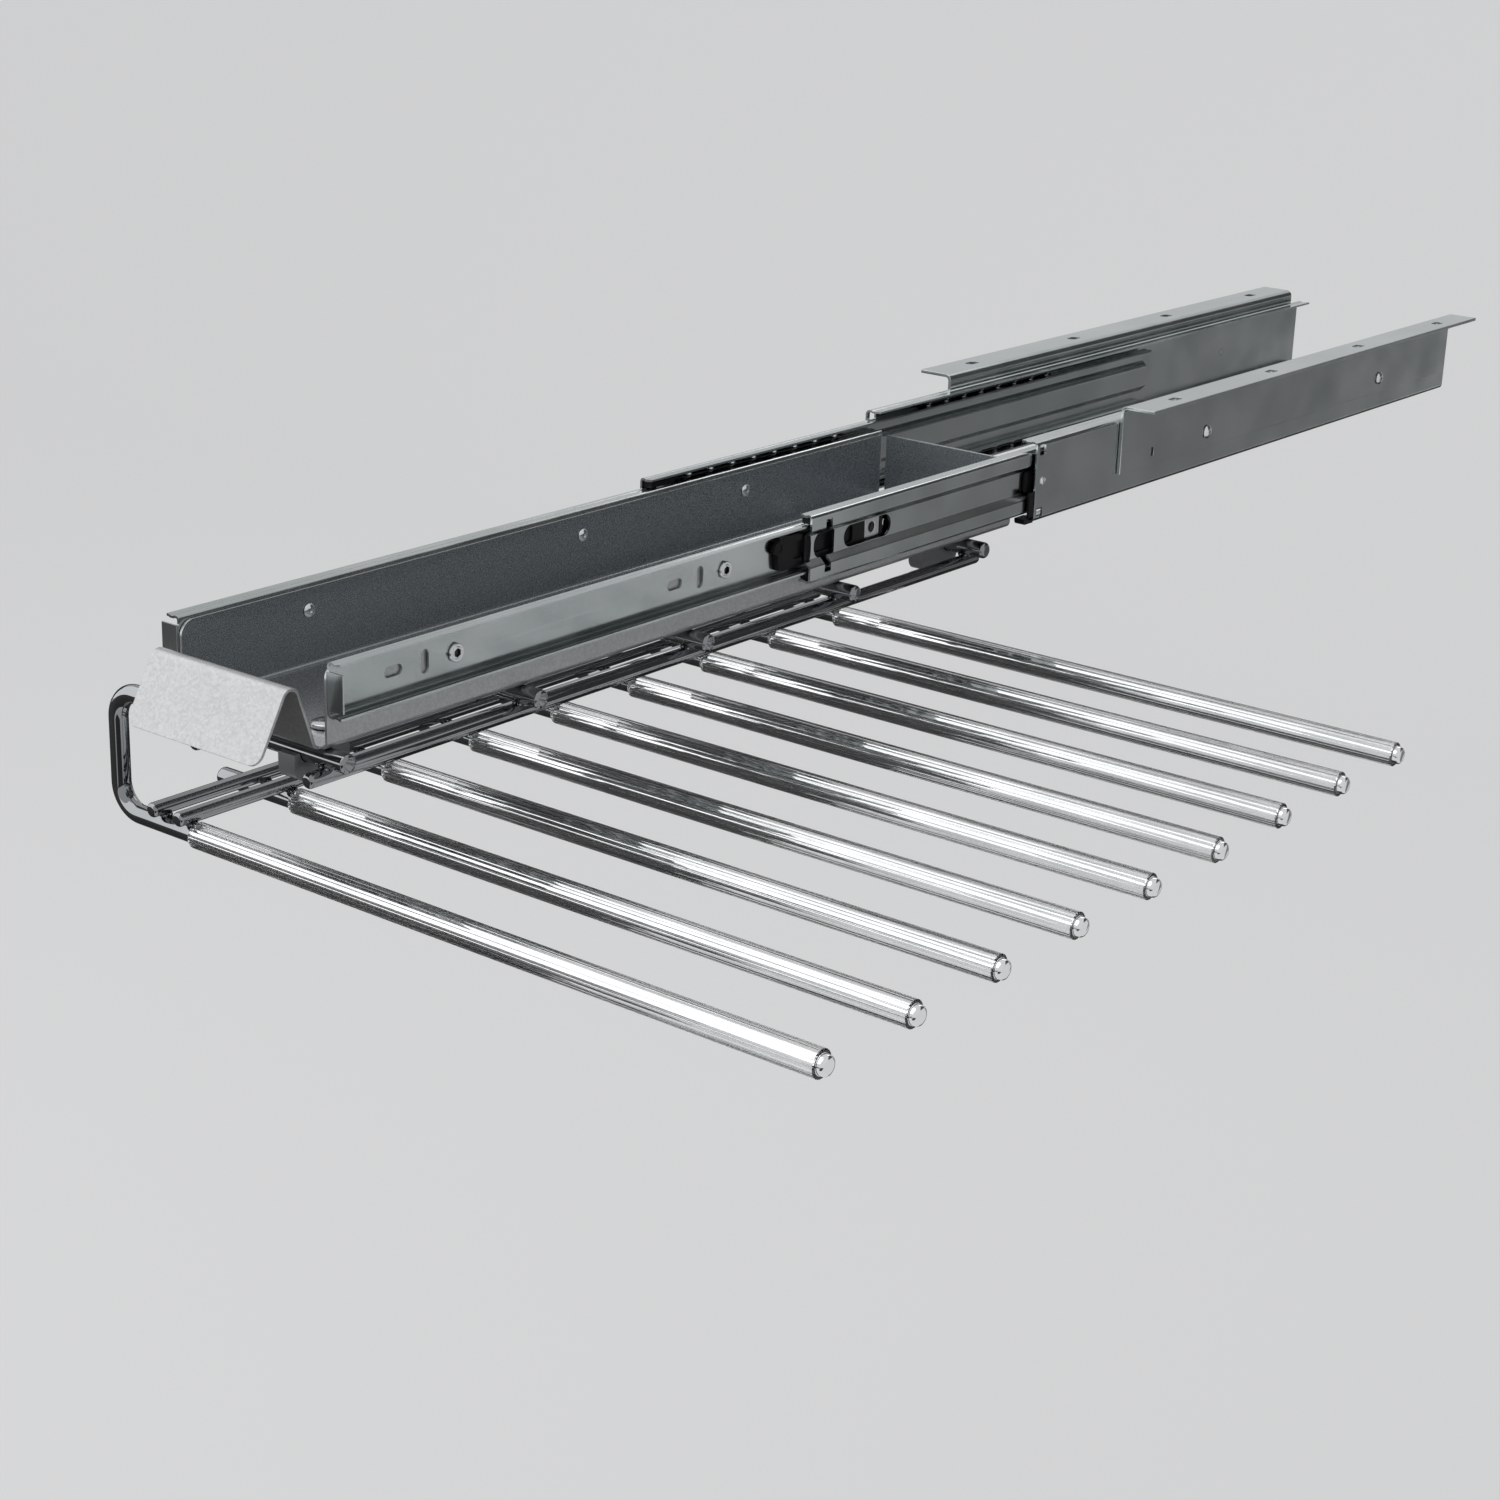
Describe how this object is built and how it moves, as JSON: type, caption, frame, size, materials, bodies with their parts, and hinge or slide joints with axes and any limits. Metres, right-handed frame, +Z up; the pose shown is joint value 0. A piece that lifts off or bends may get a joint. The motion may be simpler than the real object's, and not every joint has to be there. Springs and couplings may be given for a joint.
{
  "type": "trouser rack",
  "caption": "Pull-out trouser rack: chrome rods with clear sleeves under a steel tray with a bent handle, on two full-extension ball slides with brackets.",
  "frame": {"origin": "middle of the right bracket's mounting face, which lies against the underside of what carries the rack", "axes": "+X towards the rods' free ends, +Y to the rear, the way the tray slides in, +Z up, out of the mounting face"},
  "size_m": [0.409, 1.0826, 0.1263],
  "materials": {
    "chrome_wire": "bright chrome plating on round steel wire",
    "clear_sleeve": "clear soft plastic with fine flutes along its length",
    "grey_steel": "fine speckled silver-grey powder coat",
    "slate_metal": "matte slate grey",
    "zinc_steel": "bright zinc-plated rolled steel",
    "black_plastic": "black moulded plastic",
    "screw_steel": "zinc-plated screw steel"
  },
  "bodies": {
    "fixed": {"slide_outer_left": "zinc_steel", "slide_stop_left": "black_plastic", "bracket_left": "zinc_steel", "bracket_screw_left_1": "screw_steel", "bracket_screw_left_2": "screw_steel", "slide_outer_right": "zinc_steel", "slide_stop_right": "black_plastic", "bracket_right": "zinc_steel", "bracket_screw_right_1": "screw_steel", "bracket_screw_right_2": "screw_steel"},
    "rack": {"rod_1": "chrome_wire", "rod_2": "chrome_wire", "rod_3": "chrome_wire", "rod_4": "chrome_wire", "rod_5": "chrome_wire", "rod_6": "chrome_wire", "rod_7": "chrome_wire", "rod_8": "chrome_wire", "rod_9": "chrome_wire", "sleeve_1": "clear_sleeve", "sleeve_2": "clear_sleeve", "sleeve_3": "clear_sleeve", "sleeve_4": "clear_sleeve", "sleeve_5": "clear_sleeve", "sleeve_6": "clear_sleeve", "sleeve_7": "clear_sleeve", "sleeve_8": "clear_sleeve", "sleeve_9": "clear_sleeve", "lower_wire_left": "chrome_wire", "lower_wire_right": "chrome_wire", "upper_wire_left": "chrome_wire", "upper_wire_right": "chrome_wire", "tray": "grey_steel", "slide_inner_left": "zinc_steel", "slide_inner_right": "zinc_steel", "tray_screw_left_1": "screw_steel", "tray_screw_left_2": "screw_steel", "tray_screw_left_3": "screw_steel", "tray_screw_right_1": "screw_steel", "tray_screw_right_2": "screw_steel", "tray_screw_right_3": "screw_steel", "clamp_front_left": "slate_metal", "clamp_front_right": "slate_metal", "clamp_rear_left": "slate_metal", "clamp_rear_right": "slate_metal", "floor_bolt_front_left": "screw_steel", "floor_bolt_front_right": "screw_steel", "floor_bolt_rear_left": "screw_steel", "floor_bolt_rear_right": "screw_steel"},
    "middle": {"slide_middle_left": "zinc_steel", "slide_cap_left": "black_plastic", "slide_middle_right": "zinc_steel", "slide_cap_right": "black_plastic"},
    "lever_left": {"release_lever_left": "black_plastic"},
    "lever_right": {"release_lever_right": "black_plastic"},
    "inner_strips": {"ball_strip_inner_left": "zinc_steel", "ball_strip_inner_right": "zinc_steel"},
    "outer_strips": {"ball_strip_outer_left": "zinc_steel", "ball_strip_outer_right": "zinc_steel"}
  },
  "joints": [
    {"name": "rack_slide", "type": "slide", "parent": "fixed", "child": "rack", "axis": [0, 1, 0], "range_m": [0, 0.514]},
    {"name": "middle_slide", "type": "slide", "parent": "fixed", "child": "middle", "axis": [0, 1, 0], "range_m": [0, 0.20301]},
    {"name": "inner_strip_slide", "type": "slide", "parent": "fixed", "child": "inner_strips", "axis": [0, 1, 0], "range_m": [0, 0.35851]},
    {"name": "outer_strip_slide", "type": "slide", "parent": "fixed", "child": "outer_strips", "axis": [0, 1, 0], "range_m": [0, 0.10151]},
    {"name": "release_left", "type": "hinge", "parent": "rack", "child": "lever_left", "pos_m": [-0.1166, -0.5237, -0.03055], "axis": [1, 0, 0], "range_deg": [0, 1.5], "stiffness_Nm_per_rad": 0.05},
    {"name": "release_right", "type": "hinge", "parent": "rack", "child": "lever_right", "pos_m": [-0.024, -0.5237, -0.03055], "axis": [-1, 0, 0], "range_deg": [0, 1.5], "stiffness_Nm_per_rad": 0.05}
  ],
  "couplings": [
    {"joint": "middle_slide", "follows": "rack_slide", "ratio": 0.39494},
    {"joint": "inner_strip_slide", "follows": "rack_slide", "ratio": 0.69747},
    {"joint": "outer_strip_slide", "follows": "rack_slide", "ratio": 0.19747}
  ]
}
